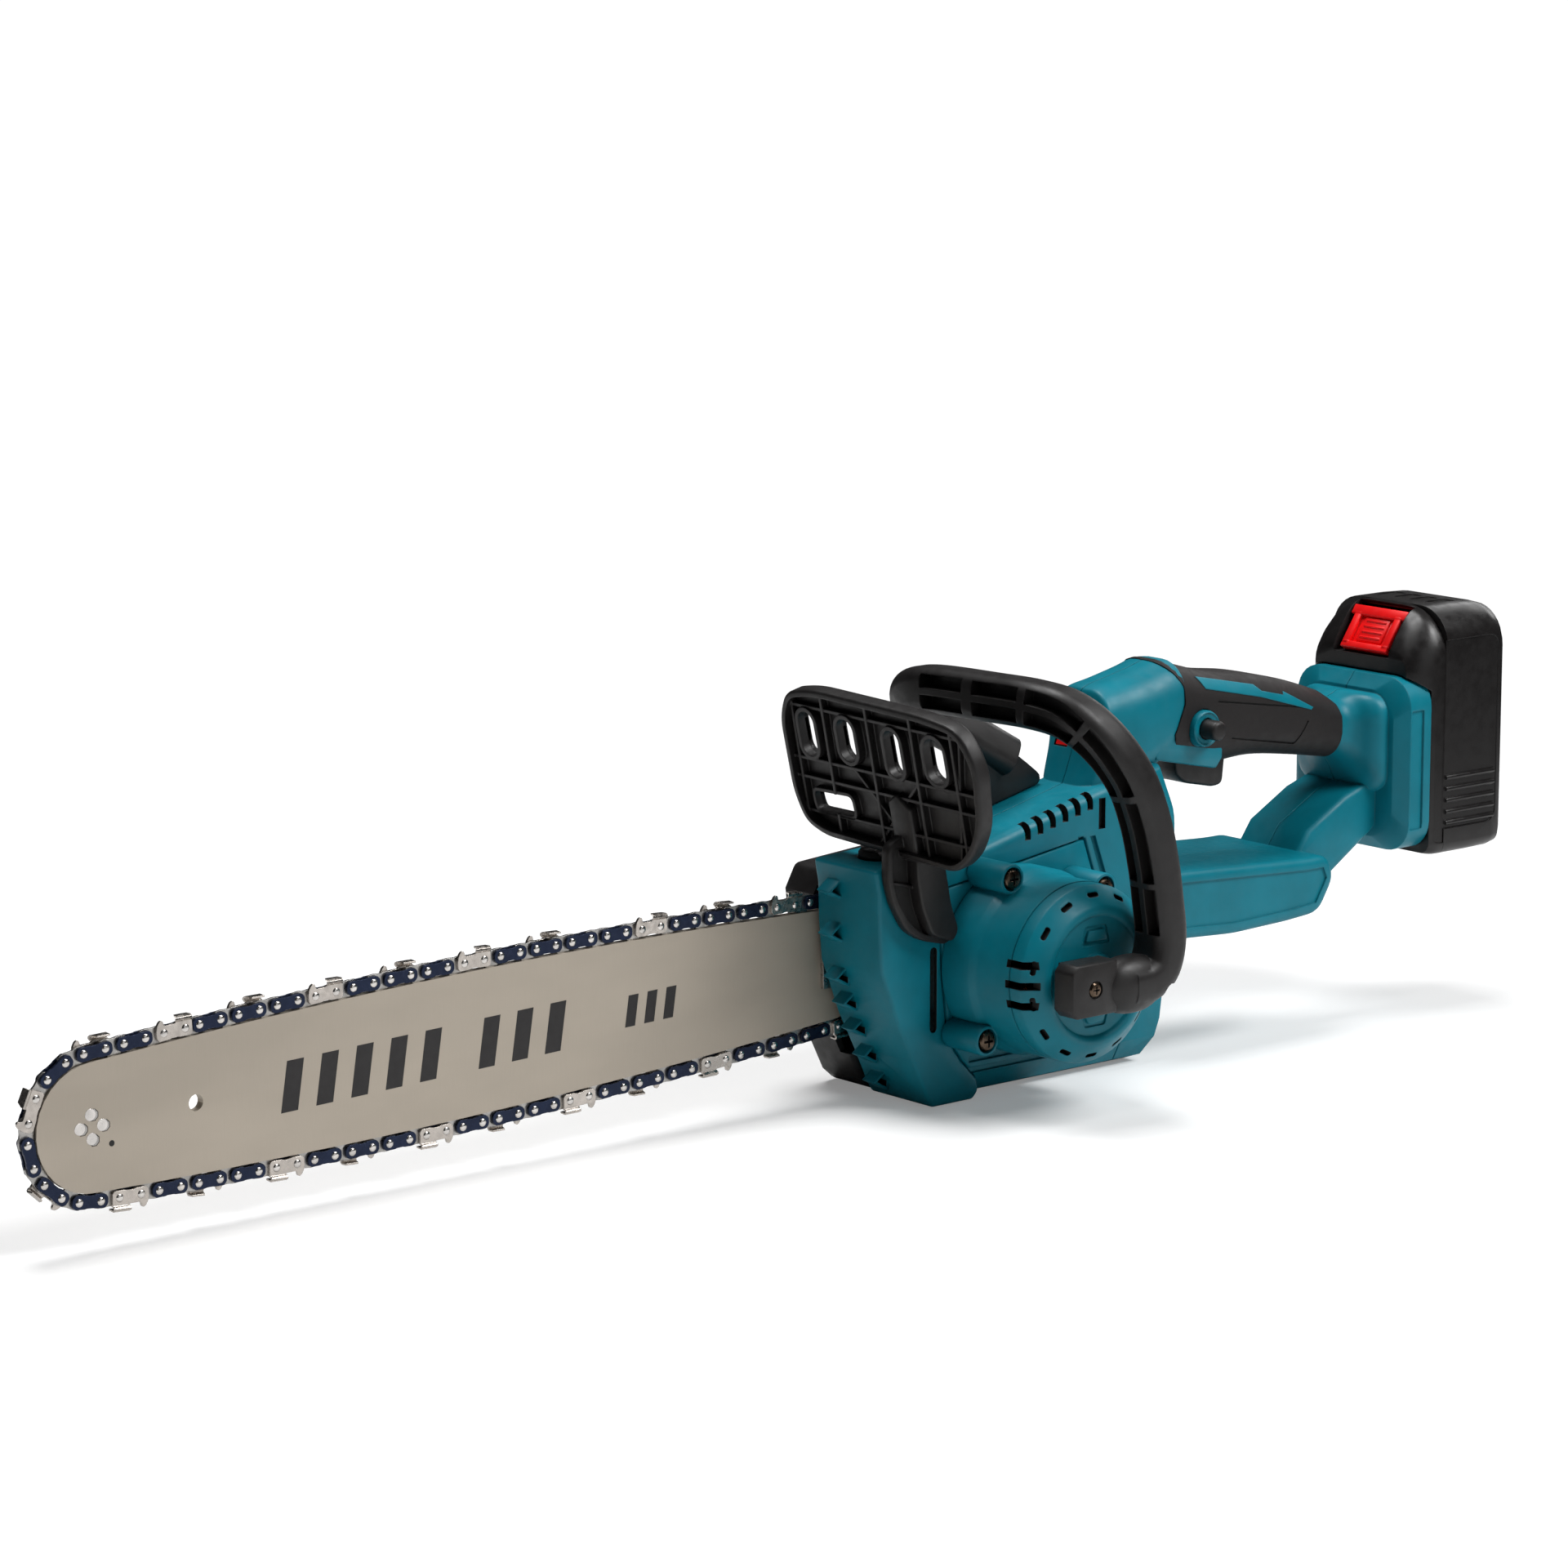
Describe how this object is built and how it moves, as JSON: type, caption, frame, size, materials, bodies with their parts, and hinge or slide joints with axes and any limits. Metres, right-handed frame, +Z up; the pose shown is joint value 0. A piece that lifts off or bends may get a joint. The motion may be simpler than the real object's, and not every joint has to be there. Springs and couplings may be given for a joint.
{
  "type": "cordless chainsaw",
  "caption": "Battery chainsaw with guide bar and chain, front handle, hand guard, rear grip with trigger, motor pod, chain oil tank, lower hand shield and slide-on battery.",
  "frame": {"origin": "centre of the bottom of the saw's bounding box, on the surface it stands on", "axes": "+X from the bar's nose back to the battery, +Y to the user's right, the side of the sprocket cover, +Z up"},
  "size_m": [0.8002, 0.1599, 0.1952],
  "materials": {
    "teal_plastic": "fine moulded texture",
    "black_plastic": "moulded texture",
    "grip_rubber": "soft overmould",
    "steel": "machined",
    "bar_steel": "matte warm grey coat",
    "chain_steel": "blued straps, bright rivets and cutters",
    "bronze_screw": "black and bronze plating",
    "cast_aluminium": "as cast",
    "copper_winding": "enamelled wire on iron",
    "red_plastic": "satin gloss",
    "tank_plastic": "translucent",
    "circuit_board": "solder resist",
    "cell_sleeve": "shrink sleeve"
  },
  "bodies": {
    "saw_body": {"bar_plate": "steel", "bracket_screw": "steel", "brake_switch": "black_plastic", "chain_catcher": "steel", "controller_board": "circuit_board", "front_bumper": "teal_plastic", "front_handle": "black_plastic", "gear_case": "cast_aluminium", "gear_housing": "teal_plastic", "grip_sleeve": "grip_rubber", "guard_pin": "steel", "handle_bracket": "black_plastic", "housing_left": "teal_plastic", "housing_right": "teal_plastic", "indicator_lens": "red_plastic", "motor_bearing_front": "steel", "motor_bearing_rear": "steel", "motor_plate": "cast_aluminium", "motor_pod": "teal_plastic", "motor_stator": "copper_winding", "oil_pump": "cast_aluminium", "oil_tank": "tank_plastic", "oil_window": "tank_plastic", "pod_end_cap": "teal_plastic", "pod_screw_1": "bronze_screw", "pod_screw_2": "bronze_screw", "pod_screw_3": "bronze_screw", "pod_screw_4": "bronze_screw", "ring_gear": "steel", "saw_chain": "chain_steel", "spindle_bearing": "steel", "sprocket_cover": "black_plastic", "switch_body": "black_plastic", "terminal_block": "black_plastic", "trigger_pin": "steel", "trigger_spring": "steel"},
    "bar": {"guide_bar": "bar_steel", "nose_race": "steel", "tension_block": "steel"},
    "nose_wheel": {"nose_sprocket": "steel"},
    "output": {"spindle": "steel", "drive_sprocket": "steel", "planet_carrier": "steel"},
    "rotor": {"motor_rotor": "steel", "cooling_fan": "black_plastic"},
    "planet_1": {"planet_gear_1": "steel"},
    "planet_2": {"planet_gear_2": "steel"},
    "planet_3": {"planet_gear_3": "steel"},
    "oil_cap": {"oil_cap": "black_plastic"},
    "hand_guard": {"hand_guard": "black_plastic"},
    "trigger": {"trigger": "black_plastic"},
    "lock_off_button": {"lock_off_button": "black_plastic"},
    "battery": {"battery_case_front": "black_plastic", "battery_case_rear": "black_plastic", "cell_pack": "cell_sleeve", "release_spring": "steel"},
    "battery_release": {"battery_release": "red_plastic"},
    "tension_screw": {"tension_screw": "steel"},
    "nut_front": {"cover_nut_front": "steel"},
    "nut_rear": {"cover_nut_rear": "steel"}
  },
  "joints": [
    {"name": "guard_pivot", "type": "hinge", "parent": "saw_body", "child": "hand_guard", "pos_m": [0.04012, -0.00355, 0.088], "axis": [0, -1, 0], "range_deg": [0, 10]},
    {"name": "trigger_squeeze", "type": "hinge", "parent": "saw_body", "child": "trigger", "pos_m": [0.20962, 0.02545, 0.1405], "axis": [0, -1, 0], "range_deg": [0, 8], "stiffness_Nm_per_rad": 0.4, "springref_deg": -5.73, "deforming": ["trigger_spring"]},
    {"name": "lock_off_press", "type": "slide", "parent": "saw_body", "child": "lock_off_button", "axis": [0, 1, 0], "range_m": [0, 0.003], "stiffness_N_per_m": 200, "springref_m": -0.002},
    {"name": "battery_slide", "type": "slide", "parent": "saw_body", "child": "battery", "axis": [0, 0, 1], "range_m": [0, 0.1]},
    {"name": "release_press", "type": "slide", "parent": "battery", "child": "battery_release", "axis": [1, 0, 0], "range_m": [0, 0.003], "stiffness_N_per_m": 300, "springref_m": -0.002},
    {"name": "drive_spin", "type": "hinge", "parent": "saw_body", "child": "output", "pos_m": [0.09092, 0.04745, 0.0625], "axis": [0, 1, 0], "continuous": true},
    {"name": "motor_spin", "type": "hinge", "parent": "saw_body", "child": "rotor", "pos_m": [0.09092, -0.02255, 0.0625], "axis": [0, 1, 0], "continuous": true},
    {"name": "planet_1_spin", "type": "hinge", "parent": "output", "child": "planet_1", "pos_m": [0.10619, 0.02045, 0.0625], "axis": [0, 1, 0], "continuous": true},
    {"name": "planet_2_spin", "type": "hinge", "parent": "output", "child": "planet_2", "pos_m": [0.08328, 0.02045, 0.07573], "axis": [0, 1, 0], "continuous": true},
    {"name": "planet_3_spin", "type": "hinge", "parent": "output", "child": "planet_3", "pos_m": [0.08328, 0.02045, 0.04927], "axis": [0, 1, 0], "continuous": true},
    {"name": "bar_tension", "type": "slide", "parent": "saw_body", "child": "bar", "axis": [0.9996, 0, 0.0276], "range_m": [0, 0.005]},
    {"name": "nose_spin", "type": "hinge", "parent": "bar", "child": "nose_wheel", "pos_m": [-0.36388, 0.04745, 0.05], "axis": [0, 1, 0], "continuous": true},
    {"name": "tension_turn", "type": "hinge", "parent": "saw_body", "child": "tension_screw", "pos_m": [0.02056, 0.05445, 0.07561], "axis": [0.9996, 0, 0.0276], "range_deg": [0, 2600]},
    {"name": "oil_cap_turn", "type": "hinge", "parent": "saw_body", "child": "oil_cap", "pos_m": [0.03212, 0.02245, 0.113], "axis": [0, 0, 1], "range_deg": [0, 540]},
    {"name": "nut_front_turn", "type": "hinge", "parent": "saw_body", "child": "nut_front", "pos_m": [0.02797, 0.07645, 0.06081], "axis": [0, 1, 0], "continuous": true},
    {"name": "nut_rear_turn", "type": "hinge", "parent": "saw_body", "child": "nut_rear", "pos_m": [0.05196, 0.07645, 0.06147], "axis": [0, 1, 0], "continuous": true}
  ],
  "couplings": [
    {"joint": "motor_spin", "follows": "drive_spin", "ratio": 4.6667},
    {"joint": "planet_1_spin", "follows": "drive_spin", "ratio": -2.75},
    {"joint": "planet_2_spin", "follows": "drive_spin", "ratio": -2.75},
    {"joint": "planet_3_spin", "follows": "drive_spin", "ratio": -2.75},
    {"joint": "nose_spin", "follows": "drive_spin", "ratio": 0.6},
    {"joint": "tension_turn", "follows": "bar_tension", "rad_per_m": 8976}
  ]
}
